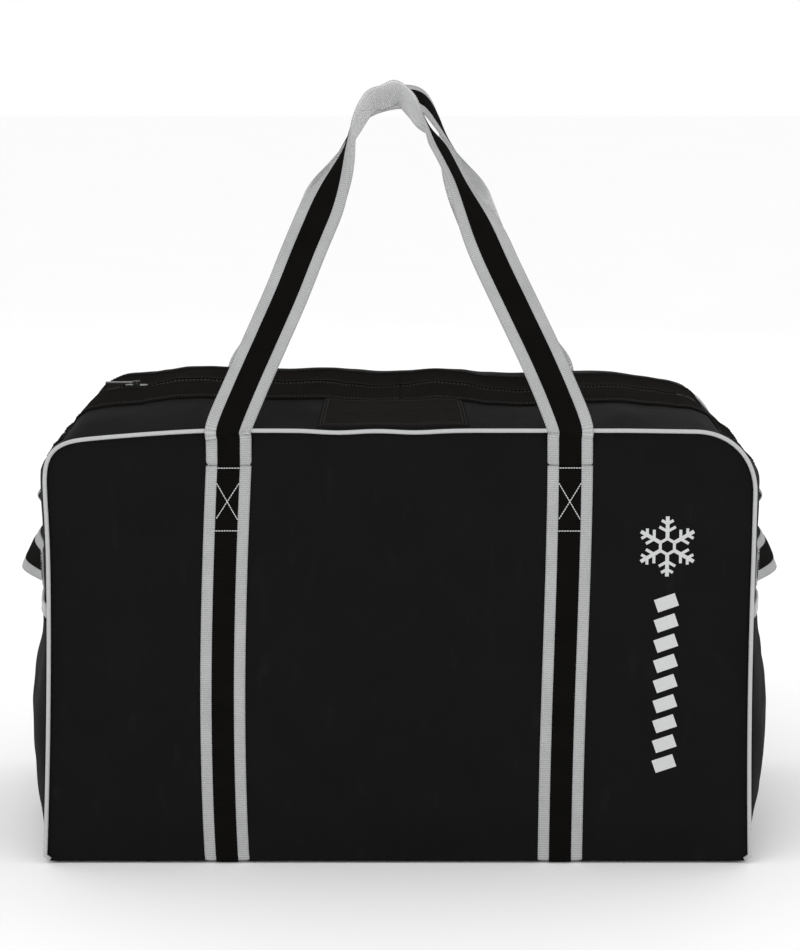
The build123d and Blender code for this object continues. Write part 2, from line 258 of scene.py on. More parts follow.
def webbing_material(name, dark, light):
    """Webbing ribbed across its length, each rib a row of small stitches of yarn. Its colour is darker
    in the valleys between ribs and yarns, as painted shade.
    """
    s = Shader(name)
    ribs = s.waves(0.0022, "Y", 0.3)
    yarns = s.waves(0.0013, "X", 0.5)
    fuzz = s.noise(900, 2)
    height = s.math("ADD", ribs, s.math("MULTIPLY", yarns, 0.35))
    # Painted shade: the colour follows the rib and yarn height, darker in the valleys, mixed with a
    # random tone.
    tone = s.math("ADD", s.math("MULTIPLY", height, 0.5),
                  s.math("MULTIPLY", s.noise(30, 4), 0.5))
    s.set(Base_Color=s.colours(tone, dark, light), Roughness=0.9, Specular_IOR_Level=0.012)
    s.bumps((height, 0.0007, 0.7), (fuzz, 0.0002, 0.3))
    return s.material


def plain_material(name, dark, light, roughness, grain=260, specular=0.35, coordinates="cloth"):
    """Smooth moulded or printed plastic with a faint mottle."""
    s = Shader(name, coordinates)
    mottle = s.noise(grain, 3)
    s.set(Base_Color=s.colours(mottle, dark, light), Specular_IOR_Level=specular)
    s.set(Roughness=s.spread(s.noise(grain / 6, 3), 0.3, 0.7, roughness - 0.06, roughness + 0.06))
    s.bumps((mottle, 0.0002, 0.2))
    return s.material


def metal_material(name):
    """Dark nickel plating, finely brushed, duller where it has been handled."""
    s = Shader(name, "object")
    brushed = s.noise(900, 2, (0.06, 1, 1))
    handled = s.noise(120, 4)
    s.set(Base_Color=s.colours(handled, (0.02, 0.02, 0.021), (0.055, 0.055, 0.057)), Metallic=1.0)
    s.set(Roughness=s.spread(handled, 0.35, 0.65, 0.28, 0.45))
    s.bumps((brushed, 0.0001, 0.25))
    return s.material


VINYL = vinyl_material("vinyl_black", (0.0058, 0.0058, 0.006), (0.0105, 0.0105, 0.0107))
WOVEN = woven_material("woven_nylon", (0.0038, 0.0034, 0.0029), (0.0115, 0.0104, 0.0093), 0.0018)
PATCH = woven_material("woven_patch", (0.006, 0.005, 0.0045), (0.021, 0.019, 0.018), 0.0014)
TAPE = woven_material("zip_tape_weave", (0.003, 0.003, 0.003), (0.01, 0.01, 0.01), 0.001)
GREY_WEB = webbing_material("webbing_grey", (0.25, 0.252, 0.255), (0.5, 0.503, 0.507))
# A paler, lit copy of the grey webbing: painted light for the handles' reverse side, which faces down
# into shade.
LIT_REVERSE_WEB = webbing_material("webbing_reverse_painted_light", (0.52, 0.522, 0.525), (0.86, 0.863, 0.867))
BLACK_WEB = webbing_material("webbing_black", (0.0018, 0.0017, 0.0015), (0.0072, 0.0068, 0.0062))
PIPING = plain_material("piping_grey", (0.37, 0.373, 0.377), (0.48, 0.483, 0.487), 0.5, specular=0.15)
THREAD = plain_material("thread_grey", (0.5, 0.5, 0.5), (0.66, 0.66, 0.66), 0.7, 1500, 0.2)
DARK_THREAD = plain_material("thread_dark", (0.01, 0.01, 0.01), (0.03, 0.03, 0.03), 0.7, 1500, 0.2)
PRINT = plain_material("print_grey", (0.46, 0.463, 0.467), (0.57, 0.573, 0.577), 0.6, 500, 0.1)
COIL = plain_material("zip_coil_black", (0.004, 0.004, 0.004), (0.009, 0.009, 0.009), 0.38)
BOARD = plain_material("board_black", (0.01, 0.01, 0.01), (0.018, 0.018, 0.018), 0.5, 90,
                       coordinates="object")
METAL = metal_material("zip_metal_nickel")


# ---- Making meshes ----
def new_object(name, points, faces, uvs, material):
    """uvs has one place on the cloth, in metres, for each point."""
    mesh = bpy.data.meshes.new(name)
    mesh.from_pydata([tuple(p) for p in points], [], faces)
    layer = mesh.uv_layers.new(name="cloth")
    for loop in mesh.loops:
        layer.data[loop.index].uv = uvs[loop.vertex_index]
    mesh.polygons.foreach_set("use_smooth", [True] * len(mesh.polygons))
    mesh.materials.append(material)
    made = bpy.data.objects.new(name, mesh)
    scene.collection.objects.link(made)
    return made


def grid_faces(rows, columns, close_rows=False):
    """Four-sided faces over a grid of points. close_rows joins each row's end to its start."""
    wrap = columns if close_rows else columns - 1
    return [
        (r * columns + c, r * columns + (c + 1) % columns,
         (r + 1) * columns + (c + 1) % columns, (r + 1) * columns + c)
        for r in range(rows - 1) for c in range(wrap)
    ]


def cloth(name, rows, columns, point, uv, material, thickness=FABRIC):
    """An open sheet over a grid of row and column values, facing out of the bag."""
    points = [point(r, c) for r in rows for c in columns]
    uvs = [uv(r, c) for r in rows for c in columns]
    faces = grid_faces(len(rows), len(columns))
    made = new_object(name, points, faces, uvs, material)
    middle = Vector((0, 0, corner_z / 2))
    outward = sum(f.normal.dot(f.center - middle) * f.area for f in made.data.polygons)
    if outward < 0:
        made.data.flip_normals()
    thicken = made.modifiers.new("thickness", "SOLIDIFY")
    thicken.thickness = thickness
    thicken.offset = -1
    spans = [(min(axis), max(axis)) for axis in zip(*uvs)]
    made["flat"] = [high - low for low, high in spans]
    return made


def closed_mesh(made):
    """Turns every face of a closed mesh outwards."""
    work = bmesh.new()
    work.from_mesh(made.data)
    bmesh.ops.recalc_face_normals(work, faces=work.faces)
    work.to_mesh(made.data)
    work.free()
    return made


def closed_tube(name, points, uvs, rows, columns, material):
    """A closed mesh over rings of points, one ring to a row."""
    faces = grid_faces(rows, columns, close_rows=True)
    faces += [tuple(range(columns))[::-1], tuple(len(points) - columns + k for k in range(columns))]
    return closed_mesh(new_object(name, points, faces, uvs, material))


def tube(name, path, radius, material, sides=12, out=Vector((0, 1, 0))):
    """A round tube along a path. out gives the direction that stays square to the path."""
    points, uvs = [], []
    for centre, ahead, length in zip(path, directions(path), distances(path)):
        across = out.cross(ahead).normalized()
        square = ahead.cross(across).normalized()
        for k in range(sides):
            a = 2 * pi * k / sides
            points.append(centre + radius * (cos(a) * across + sin(a) * square))
            uvs.append((length, a * radius))
    return closed_tube(name, points, uvs, len(path), sides, material)


def webbing(name, stations, point, half_width, low, high, material, across=11):
    """Flat webbing with rounded edges. point(station, across, lift) places it, and each station
    comes with its distance along the webbing."""
    points, uvs = [], []
    shares = steps(-1, 1, across)
    middle, half = (low + high) / 2, (high - low) / 2
    ring = [(s, 1) for s in shares] + [(s, -1) for s in reversed(shares)]
    for station, distance in stations:
        for share, face in ring:
            round_off = 1 - 0.55 * abs(share) ** 14
            points.append(point(station, share * half_width, middle + face * half * round_off))
            uvs.append((share * half_width, distance))
    return closed_tube(name, points, uvs, len(stations), len(ring), material)


def striped_webbing(name, stations, place, half, stripe, low, high):
    """Grey webbing with a black band along its middle."""
    grey = webbing(f"{name}_webbing", stations, place, half, low, high, GREY_WEB, WEB_COLUMNS)
    return grey, webbing(f"{name}_band", stations, place, stripe, high - SUNK, high + STRIPE, BLACK_WEB)


# Stitches: pitch along the line, and the thread's radius
TOP_STITCH = (0.0038, 0.00042)
PATCH_STITCH = (0.0032, 0.00042)
EDGE_STITCH = (0.0036, 0.00032)
POCKET_STITCH = (0.0036, 0.0004)
GRAB_STITCH = (0.0032, 0.0004)
TAB_STITCH = (0.003, 0.0004)
BOX_STITCH = (0.003, 0.00058)
# One stitch: share of its length, its width and its height, in thread radii
STITCH_PROFILE = [
    (0.0, 0.15, -0.6), (0.15, 0.85, 0.2), (0.5, 1.0, 0.7), (0.85, 0.85, 0.2), (1.0, 0.15, -0.6),
]
STITCH_SIDES = 6


def stitches(name, lines, material, stitch, shown=0.76):
    """Sewing thread along each line of (point, outward normal), one small lozenge a stitch.
    shown is how much of each pitch lies on the surface."""
    pitch, radius = stitch
    points, faces, uvs = [], [], []
    sides, count = STITCH_SIDES, len(STITCH_PROFILE)
    for line in lines:
        places = [place for place, _ in line]
        marks = distances(places)
        for k in range(int(marks[-1] / pitch)):
            base = len(points)
            for share, width, lift in STITCH_PROFILE:
                at = (k + share * shown) * pitch
                i = max(next((j for j, mark in enumerate(marks) if mark >= at), len(marks) - 1), 1)
                t = (at - marks[i - 1]) / (marks[i] - marks[i - 1])
                normal = line[i][1]
                centre = mix(places[i - 1], places[i], t) + normal * (lift * radius)
                across = (places[i] - places[i - 1]).cross(normal).normalized()
                for n in range(sides):
                    a = 2 * pi * n / sides
                    points.append(centre + width * radius * (cos(a) * across + sin(a) * normal))
                    uvs.append((at, a * radius))
            faces += [tuple(base + v for v in f) for f in grid_faces(count, sides, close_rows=True)]
            faces.append(tuple(base + n for n in range(sides))[::-1])
            faces.append(tuple(base + (count - 1) * sides + n for n in range(sides)))
    return closed_mesh(new_object(name, points, faces, uvs, material))


def attach(piece, *nodes, body="bag_body"):
    """Fixes a piece to a body, in place of the CAD nodes named."""
    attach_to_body(piece, body)
    if nodes:
        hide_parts(*nodes)


def sew(name, lines, material, stitch, shown=0.76, body="bag_body"):
    """Stitches that stay with a body."""
    attach(stitches(name, lines, material, stitch, shown), body=body)


def declare_sheet(piece):
    del piece["flat"]


# ---- Shape of the bag ----
# How square each rounded top corner is: 2 is round
CORNER_POWER = {(FRONT, LEFT): 4.4, (FRONT, RIGHT): 2.1, (REAR, LEFT): 2.0, (REAR, RIGHT): 2.25}
FOOT_RADIUS = 0.006
# Each side edge: how far it spreads at the floor, how fast it pulls in, and its spread with height
BELLY = {(FRONT, LEFT): (0.0065, 0.053, 0.062), (FRONT, RIGHT): (0.0005, 0.033, 0.071)}
REAR_BELLY = (-0.004, 0.024, 0.045)
SHOULDER = {(FRONT, LEFT): 0.0028, (FRONT, RIGHT): -0.0015}  # more width below the corner
SHOULDER_Z, SHOULDER_HEIGHT = 0.46, 0.07
REAR_DROP = 0.007  # the rear piping sits lower, behind the top's rolled rear edge


def half_width(face, side, z):
    """How far the panel's edge is from the middle: the bag spreads at the floor and below the top."""
    spread, fall, rise = BELLY.get((face, side), REAR_BELLY)
    width = half_length + spread - fall * z + rise * z * z
    width += SHOULDER.get((face, side), 0.0) * bell(z, SHOULDER_Z, SHOULDER_HEIGHT)
    foot = max(0.0, FOOT_RADIUS - (z - panel_foot))
    return width - FOOT_RADIUS + sqrt(max(FOOT_RADIUS**2 - foot**2, 0.0))


# Droop of a top edge towards its corners: side, drop, start, length and power
DROOPS = {
    FRONT: [(LEFT, 0.0135, 0.21, 0.18, 1.3), (RIGHT, 0.002, 0.25, 0.14, 1.0)],
    REAR: [(LEFT, 0.004, 0.27, 0.12, 1.0), (RIGHT, 0.013, 0.23, 0.16, 1.0)],
}
# Soft rises and dips of a top edge: height, place and half width
WAVES = {
    FRONT: [(-0.0022, -0.068, 0.03), (-0.002, 0.0165, 0.03)],
    REAR: [(0.0035, -0.24, 0.06), (-0.0035, 0.008, 0.045)],
}
DROOP_FOOT = 0.3  # below this height a panel's edge has no droop


def top_edge(face, x):
    """Height of a panel's top edge."""
    z = panel_top - (REAR_DROP if face == REAR else 0.0)
    for side, drop, start, length, power in DROOPS[face]:
        z -= drop * max(0.0, (side * x - start) / length) ** power
    for height, centre, width in WAVES[face]:
        z += height * bell(x, centre, width)
    return z


def droop_share(z):
    return smooth((z - DROOP_FOOT) / (panel_top - DROOP_FOOT))


def outline(face, p):
    """A panel's edge in x and z. p is 0 to 1 up the left side, 1 to 2 round its corner, 2 to 3
    along the top, 3 to 4 round the right corner and 4 to 5 down the right side."""
    side = LEFT if p < 2.5 else RIGHT
    q = p if side == LEFT else 5 - p
    if q < 1:
        z = mix(panel_foot, corner_z, q)
        reach = half_width(face, side, z)
    elif q < 2:
        power = 2 / CORNER_POWER[face, side]
        a = (q - 1) * pi / 2
        z = corner_z + corner * sin(a) ** power
        reach = half_width(face, side, z) - corner + corner * cos(a) ** power
    else:
        z = panel_top
        reach = (half_width(face, side, z) - corner) * (2.5 - q) / 0.5
    x = side * reach
    return x, z + (top_edge(face, x) - panel_top) * droop_share(z)


# Soft folds in the front and rear panels: two ends in x and z, depth and half width
FOLDS = [
    ((-0.215, 0.47), (-0.345, 0.44), 0.002, 0.012),
    ((-0.165, 0.475), (-0.11, 0.4), 0.0018, 0.011),
    ((0.16, 0.478), (0.095, 0.41), 0.0016, 0.011),
    ((0.213, 0.475), (0.325, 0.45), 0.0018, 0.013),
    ((-0.33, 0.06), (-0.375, 0.13), 0.002, 0.014),
    ((0.33, 0.05), (0.372, 0.12), 0.0018, 0.014),
    ((-0.06, 0.12), (0.07, 0.15), 0.0012, 0.02),
]


def fold_height(x, z):
    """Height of the folds at a place on a panel. Each fold fades towards its ends."""
    total = 0.0
    for (ax, az), (bx, bz), depth, width in FOLDS:
        t = ((x - ax) * (bx - ax) + (z - az) * (bz - az)) / ((bx - ax) ** 2 + (bz - az) ** 2)
        t = min(max(t, 0.0), 1.0)
        away = sqrt((x - mix(ax, bx, t)) ** 2 + (z - mix(az, bz, t)) ** 2)
        total += depth * bell(away, 0, width) * sin(pi * mix(0.15, 0.95, t))
    return total


SIDE_TAPER, TOP_TAPER, FOOT_TAPER = 0.08, 0.07, 0.06  # the swell dies out this near each edge
PANEL_SWELL, LARGE_WAVE, SMALL_WAVE = 0.0045, 0.0025, 0.001
HOLLOW = 0.0015  # under the straps, and in the middle of the panel


def swell(face, x, z):
    """How far a panel stands proud of its flat plane."""
    edge = smooth((half_length - abs(x)) / SIDE_TAPER) * smooth((top_edge(face, x) - z) / TOP_TAPER)
    edge *= smooth((z - panel_foot) / FOOT_TAPER)
    soft = PANEL_SWELL + LARGE_WAVE * ripple(x * 5, z * 5, face * 3.1)
    soft += SMALL_WAVE * ripple(x * 15, z * 12, face * 7.7)
    hollow = HOLLOW * (bell(abs(x), strap_x, 0.03) + bell(z, 0.25, 0.09) * bell(x, 0, 0.16))
    return edge * (soft - hollow) + edge**0.5 * fold_height(x, z)


def panel_surface(face, x, z, lift=0.0):
    return Vector((x, face * (panel_y + swell(face, x, z) + lift), z))


def panel_point(face, q, u):
    """q goes up a side of the panel and round its corner, u from the left side to the right."""
    xl, zl = outline(face, q)
    xr, zr = outline(face, 5 - q)
    x, z = mix(xl, xr, u), mix(zl, zr, u)
    z += (top_edge(face, x) - mix(top_edge(face, xl), top_edge(face, xr), u)) * droop_share(z)
    return panel_surface(face, x, z)


# Height of the zip line along the top: x and z
RIDGE = [
    (-0.4, 0.5085), (-0.324, 0.5114), (-0.294, 0.512), (-0.28, 0.515), (-0.252, 0.5195),
    (-0.23, 0.52), (-0.203, 0.5176), (-0.129, 0.5153), (-0.084, 0.516), (-0.056, 0.5129),
    (-0.028, 0.511), (0.006, 0.5129), (0.043, 0.5165), (0.071, 0.5141), (0.104, 0.5082),
    (0.139, 0.5058), (0.207, 0.5117), (0.247, 0.5117), (0.29, 0.5068), (0.322, 0.5035),
    (0.4, 0.499),
]


def ridge_height(x):
    for (ax, az), (bx, bz) in zip(RIDGE, RIDGE[1:]):
        if x < bx:
            return mix(az, bz, smooth((x - ax) / (bx - ax)))
    return RIDGE[-1][1]


FOOT_BOW, END_BOW, BOW_RISE = 0.004, 0.016, 0.35  # swell of the ends at the floor and above it
CORNER_DIP = 0.022  # the corners of the top fall in
REAR_ROLL, FRONT_ROLL = 0.0095, 0.006


def bow(p, x):
    """How far the gusset swells at mid-depth."""
    q = min(p, 5 - p)
    end = mix(FOOT_BOW, END_BOW, smooth(q / BOW_RISE))
    top = ridge_height(x) - (top_edge(FRONT, x) + top_edge(REAR, x)) / 2
    return mix(end, top, smooth(q - 1)) - CORNER_DIP * bell(q, 1.5, 0.3)


def edge_roll(p, v):
    """The top and ends roll out over the rear piping, and a little over the front one."""
    q = min(p, 5 - p)
    rear = REAR_ROLL * smooth(q / 0.8) * smooth((v - 0.15) / 0.5) * (1 - max(v, 0) ** 8)
    rear *= 1 - 0.85 * bell(q, 1.5, 0.45)
    front = FRONT_ROLL * bell(q, 1.0, 0.35) * smooth((-v - 0.3) / 0.4) * (1 - max(-v, 0) ** 10)
    return rear + front


def middle_outline(p, share):
    """The outline part of the way from the front panel to the rear one."""
    front, rear = outline(FRONT, p), outline(REAR, p)
    return mix(front[0], rear[0], share), mix(front[1], rear[1], share)


gusset_edge = panel_y - 0.0005  # where the gusset meets each panel
SLOPE_STEP = 0.02  # how far apart the gusset's direction is measured


def gusset(p, y, lift=0.0):
    """A point on the ends and the top of the bag: p along the outline and y across the depth.
    lift moves it outwards."""
    v = y / gusset_edge
    share = (v + 1) / 2
    x, z = middle_outline(p, share)
    ax, az = middle_outline(max(p - SLOPE_STEP, 0), share)
    bx, bz = middle_outline(min(p + SLOPE_STEP, 5), share)
    size = sqrt((bx - ax) ** 2 + (bz - az) ** 2)
    nx, nz = -(bz - az) / size, (bx - ax) / size
    q = min(p, 5 - p)
    loose = (1 - v**4) * (0.0016 + 0.0014 * bell(q, 1.45, 0.45))
    wrinkle = loose * (ripple(p * 7, y * 9, 2.3) + 0.5 * ripple(p * 19, y * 16, 5.1))
    out = bow(p, x) * (1 - v * v) + edge_roll(p, v) + wrinkle + lift
    return Vector((x + nx * out, y, z + nz * out))


def side_p(side, q):
    """q goes up an end of the bag and over to the middle of its top."""
    return q if side == LEFT else 5 - q


def end_q(z):
    """Place on an end of the bag at a height."""
    return (z - panel_foot) / (corner_z - panel_foot)


ARC = distances([gusset(p, 0) for p in steps(0, 5, 401)])


def arc(p):
    """Distance along the gusset from its left foot."""
    at = min(max(p, 0), 5) / 5 * (len(ARC) - 1)
    i = min(int(at), len(ARC) - 2)
    return mix(ARC[i], ARC[i + 1], at - i)


# ---- Front and rear panels, with their piping ----
def make_panel(face):
    rows = steps(0, 0.03, 5)[:-1] + steps(0.03, 1, 70)[:-1] + steps(1, 2, 22)
    name = FACE_NAMES[face]

    def place(q, u):
        return panel_point(face, q, u)

    def flat(q, u):
        return place(q, u).x, place(q, u).z

    panel = cloth(f"{name}_panel_skin", rows, steps(0, 1, 150), place, flat, VINYL)
    attach(panel, f"{name}_panel")
    declare_sheet(panel)


PIPING_SLIM = 0.86  # the bead against the CAD piping, which stands for its tape as well
PIPING_WANDER = 0.0004


def make_piping(face):
    stretch = steps(0, 1, 60)[:-1] + steps(1, 2, 24)[:-1] + steps(2, 3, 120)[:-1]
    stretch += steps(3, 4, 24)[:-1] + steps(4, 5, 60)
    path = []
    for p in stretch:
        x, z = outline(face, p)
        z = max(z, panel_foot + piping_radius)
        path.append(Vector((x, face * (piping_y + PIPING_WANDER * ripple(x * 30, z * 30, 9)), z)))
    name = FACE_NAMES[face]
    bead = tube(f"{name}_piping_bead", path, piping_radius * PIPING_SLIM, PIPING)
    attach(bead, f"{name}_piping")


# ---- Ends and top ----
def make_end(side):
    name = SIDE_NAMES[side]
    panel = cloth(f"{name}_end_skin", steps(0, 1, 60), steps(-gusset_edge, gusset_edge, 60),
                  lambda q, y: gusset(side_p(side, q), y), lambda q, y: (arc(q), y), VINYL)
    attach(panel, f"{name}_end_panel")
    declare_sheet(panel)


def lift_with_lid(piece):
    """Bakes the piece's place in the world into its mesh."""
    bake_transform(piece)


def strip_rows(first):
    """Rows from a place on the bag's end, round the corner and to the middle of the top."""
    rows = steps(first, 1, 10)[:-1] if first < 1 else []
    return rows + steps(1, 2, 26)[:-1] + steps(2, 2.5, 70)


def make_strip(face, side, kind, columns, first, material, nodes):
    """A strip of the top from one end of the bag to its middle."""
    name = f"{FACE_NAMES[face]}_{kind}_{SIDE_NAMES[side]}"
    strip = cloth(name, strip_rows(first), columns,
                  lambda q, c: gusset(side_p(side, q), face * c[0], c[1]),
                  lambda q, c: (arc(side_p(side, q)), face * c[0]), material)
    lift_with_lid(strip)
    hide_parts(*nodes)
    declare_sheet(strip)


ZIP_END = end_q(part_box("left_zip_end")[0].z + 0.003)
HEM = 0.0024  # how far the hem of the woven panel stands up
FLAP = 0.0013  # the woven panel over the vinyl


def make_top(face, side):
    """Columns of each strip are (depth, lift), from the piping towards the zip."""
    face_name, side_name = FACE_NAMES[face], SIDE_NAMES[side]
    vinyl_columns = [(y, 0.0) for y in steps(gusset_edge, strip_inner - 0.004, 22)]
    make_strip(face, side, "vinyl_strip", vinyl_columns, 1.0, VINYL,
               [f"{face_name}_lid_gusset", f"{side_name}_shoulder_gusset"])
    hem = [(strip_inner + 0.0035, 0.0002), (strip_inner + 0.003, 0.0018), (strip_inner + 0.0015, HEM),
           (strip_inner - 0.005, HEM), (strip_inner - 0.007, 0.0017)]
    flat = [(y, FLAP) for y in steps(strip_inner - 0.009, slot_half + 0.004, 14)]
    lips = [(slot_half + 0.0015, 0.0019), (slot_half, 0.0022), (slot_half - 0.001, 0.0012)]
    make_strip(face, side, "woven_panel", hem + flat + lips, ZIP_END, WOVEN,
               [f"{face_name}_zip_panel", f"{side_name}_shoulder_zip_panel"])
    tape = [(y, -0.0004) for y in steps(slot_half + 0.006, 0.0012, 6)]
    make_strip(face, side, "tape", tape, ZIP_END, TAPE,
               [f"{face_name}_zip_tape", f"{side_name}_zip_end"])


COIL_RADIUS, COIL_WIRE, COIL_PITCH = 0.0012, 0.00042, 0.0021
COIL_WIDE, COIL_FLAT = 1.15, 0.8  # the coil is flattened
COIL_GAP = 0.0004  # of each coil from the middle of the zip


def make_coil(face, side):
    """The coil of one zip half: a flattened spiral sewn to the edge of its tape."""
    start, end = arc(side_p(LEFT, ZIP_END)), arc(2.5)
    turns = int((end - start) / COIL_PITCH)
    per_turn = 8
    places = steps(ZIP_END, 2.5, 600)
    base = [gusset(side_p(side, q), 0, 0.0002) for q in places]
    ups = [(gusset(side_p(side, q), 0, 0.01) - b).normalized() for q, b in zip(places, base)]
    path = []
    for i in range(turns * per_turn + 1):
        at = i / (turns * per_turn) * (len(base) - 1)
        k = min(int(at), len(base) - 2)
        centre, up = mix(base[k], base[k + 1], at - k), ups[k]
        a = 2 * pi * i / per_turn
        centre = centre + Vector((0, face * (COIL_RADIUS + COIL_GAP), 0))
        turn = COIL_WIDE * cos(a) * Vector((0, 1, 0)) + COIL_FLAT * sin(a) * up
        path.append(centre + COIL_RADIUS * turn)
    coil = tube(f"{FACE_NAMES[face]}_coil_{SIDE_NAMES[side]}", path, COIL_WIRE, COIL, 5,
                out=Vector((0.3, 0.2, 1)))
    lift_with_lid(coil)


def thread_line(point, values, lift=0.0):
    """A stitching line over a surface, with its outward direction at each point."""
    line = []
    for value in values:
        at, above = point(value, lift), point(value, lift + 0.001)
        line.append((at, (above - at).normalized()))
    return line


def make_top_stitching(face, side):
    rows = strip_rows(ZIP_END + 0.02)
    depths = [(strip_inner + 0.0008, HEM), (strip_inner - 0.0042, HEM), (slot_half + 0.004, 0.0016)]
    lines = [thread_line(lambda q, lift: gusset(side_p(side, q), face * y, lift), rows, height)
             for y, height in depths]
    thread = stitches(f"{FACE_NAMES[face]}_top_stitching_{SIDE_NAMES[side]}", lines, DARK_THREAD,
                      TOP_STITCH)
    lift_with_lid(thread)


# ---- Name patch on the front of the top ----
def top_p(x):
    """Place on the outline over a point of the top."""
    return 2.5 + 0.5 * x / corner_x


def make_name_patch():
    low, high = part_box("name_panel")
    front, back = low.y + 0.003, high.y

    def place(u, v, lift=0.0):
        x = mix(low.x, high.x, u) + (0.5 - u) * 0.01 * v
        border = min(u, 1 - u, v, 1 - v)
        crease = 0.0007 * ripple(x * 38, v * 3, 4.2) + 0.0009 * bell(v, 0.45 + 0.15 * u, 0.06)
        raised = 0.0006 + 0.0016 * smooth(border / 0.03) + crease * smooth(border / 0.12)
        return gusset(top_p(x), mix(front, back, v), raised + lift)

    shares = sorted(set([0, 0.01, 0.025, 0.05] + steps(0.08, 0.92, 44) + [0.95, 0.975, 0.99, 1]))
    patch = cloth("name_panel_patch", shares, shares, lambda v, u: place(u, v),
                  lambda v, u: (mix(low.x, high.x, u), mix(front, back, v)), PATCH, 0.0011)
    attach(patch, "name_panel", body="front_lid")
    declare_sheet(patch)
    lines = []
    for inset in (0.03, 0.065):
        near, far = inset * 0.6, 1 - inset * 0.6
        for edge in (inset, 1 - inset):
            lines.append(thread_line(lambda u, lift: place(u, edge, lift), steps(near, far, 40), SUNK))
        rise = steps(inset, 1 - inset, 20)
        for edge in (near, far):
            lines.append(thread_line(lambda v, lift: place(edge, v, lift), rise, SUNK))
    sew("name_panel_stitching", lines, DARK_THREAD, PATCH_STITCH, body="front_lid")


# ---- Bottom panel ----
def make_bottom():
    rows, columns = steps(-gusset_edge, gusset_edge, 50), steps(0, 1, 90)

    def place(y, u):
        left, right = gusset(0, y).x, gusset(5, y).x
        x = mix(left, right, u)
        inside = smooth(min(u, 1 - u) / 0.06) * smooth((gusset_edge - abs(y)) / 0.03)
        sag = 0.0009 + 0.0009 * ripple(x * 8, y * 9, 6.6)
        return Vector((x, y, panel_foot + 0.0016 + inside * max(sag, 0.0002)))

    panel = cloth("bottom_skin", rows, columns, place, lambda y, u: (place(y, u).x, y), VINYL)
    attach(panel, "bottom_panel")
    declare_sheet(panel)


# ---- Straps up the front, under the bag and up the rear ----
def strap_centre(face, side, z):
    """The straps wander a little from their true line."""
    if (face, side) == (FRONT, LEFT):
        return -strap_x - 0.01 * sin(pi * min(max((0.47 - z) / 0.62, 0), 1)) - 0.0005
    if (face, side) == (FRONT, RIGHT):
        return strap_x - 0.0072 * smooth((0.47 - z) / 0.45)
    return side * (strap_x - 0.004 * smooth((0.45 - z) / 0.45))


JOIN_Z = strap_top - 0.0025  # where a handle carries on from its strap
STRAP_END = JOIN_Z + 0.0005
TURN = 0.006  # radius of the straps' turn under the bag
TURN_TOP = TURN + 0.004
STRAP_LIFT = 0.0002


def strap_stations(side):
    """(kind, place) down the front, round under the bag and up the rear, with distances."""
    front = [("panel", FRONT, z) for z in steps(STRAP_END, TURN_TOP, 150)]
    turn_in = [("turn", FRONT, a) for a in steps(0.1, pi / 2, 7)]
    under = [("under", 0, y) for y in steps(-panel_y + TURN, panel_y - TURN, 60)[1:-1]]
    turn_out = [("turn", REAR, a) for a in steps(pi / 2, 0.1, 7)]
    rear = [("panel", REAR, z) for z in steps(TURN_TOP, STRAP_END, 150)]
    stations = front + turn_in + under + turn_out + rear
    middle = [strap_point(side, station, 0, 0) for station in stations]
    return list(zip(stations, distances(middle)))


def strap_point(side, station, across, lift):
    """lift is measured out of the bag from the panel's face, and down from its bottom."""
    kind, face, value = station
    if kind == "panel":
        x = strap_centre(face, side, value) + across
        return panel_surface(face, x, value, lift + STRAP_LIFT)
    ground = WEBBING + STRIPE
    if kind == "turn":
        x = strap_centre(face, side, 0) + across
        y = face * (panel_y - TURN + (TURN + lift + STRAP_LIFT) * cos(value))
        z = ground + TURN - (TURN + lift) * sin(value)
        return Vector((x, y, z))
    t = smooth((value + panel_y) / (2 * panel_y))
    x = mix(strap_centre(FRONT, side, 0), strap_centre(REAR, side, 0), t) + across
    return Vector((x, value, ground - lift))


def make_strap(side):
    name = SIDE_NAMES[side]
    stations = strap_stations(side)

    def place(station, across, lift):
        return strap_point(side, station, across, lift)

    strap, stripe = striped_webbing(f"{name}_strap", stations, place, webbing_half, stripe_half, 0,
                                    WEBBING)
    attach(strap, f"{name}_strap")
    attach(stripe, f"{name}_strap_stripe")


def strap_line(face, side, start, end, count=12):
    """A stitching line on a strap between two places, each (across, height)."""
    def place(t, lift):
        z = mix(start[1], end[1], t)
        x = strap_centre(face, side, z) + mix(start[0], end[0], t)
        on_stripe = abs(mix(start[0], end[0], t)) < stripe_half
        return panel_surface(face, x, z, WEBBING + (STRIPE if on_stripe else 0) + STRAP_LIFT + lift)

    return thread_line(place, steps(0, 1, count))


# Heights and half widths of the sewn box and its cross
BOX_TOP, CROSS_TOP, CROSS_FOOT, BOX_FOOT = 0.4556, 0.439, 0.397, 0.385
BOX_HALF, CROSS_HALF = 0.015, 0.0125
EDGE_INSET = 0.0025  # of the stitching along the webbing's edges
EDGE_LINES = (-webbing_half + EDGE_INSET, webbing_half - EDGE_INSET)
EDGE_FOOT = 0.02


def make_strap_stitching(face, side):
    name = f"{FACE_NAMES[face]}_{SIDE_NAMES[side]}"
    across = [
        ((-BOX_HALF, BOX_TOP), (BOX_HALF, BOX_TOP)),
        ((-BOX_HALF, BOX_FOOT), (BOX_HALF, BOX_FOOT)),
        ((-CROSS_HALF, CROSS_TOP), (CROSS_HALF, CROSS_FOOT)),
        ((CROSS_HALF, CROSS_TOP), (-CROSS_HALF, CROSS_FOOT)),
    ]
    box_lines = [strap_line(face, side, *line) for line in across]
    sew(f"{name}_box_stitching", box_lines, THREAD, BOX_STITCH, 1.0)
    edges = [strap_line(face, side, (edge, JOIN_Z), (edge, EDGE_FOOT), 60) for edge in EDGE_LINES]
    sew(f"{name}_edge_stitching", edges, THREAD, EDGE_STITCH)


# ---- Carry handles ----
HANDLE_LEAN = radians(29.4)
RISER_TOP = 0.502  # where the webbing starts to lean in
handle_y = -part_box("front_handle")[0].y - 0.001
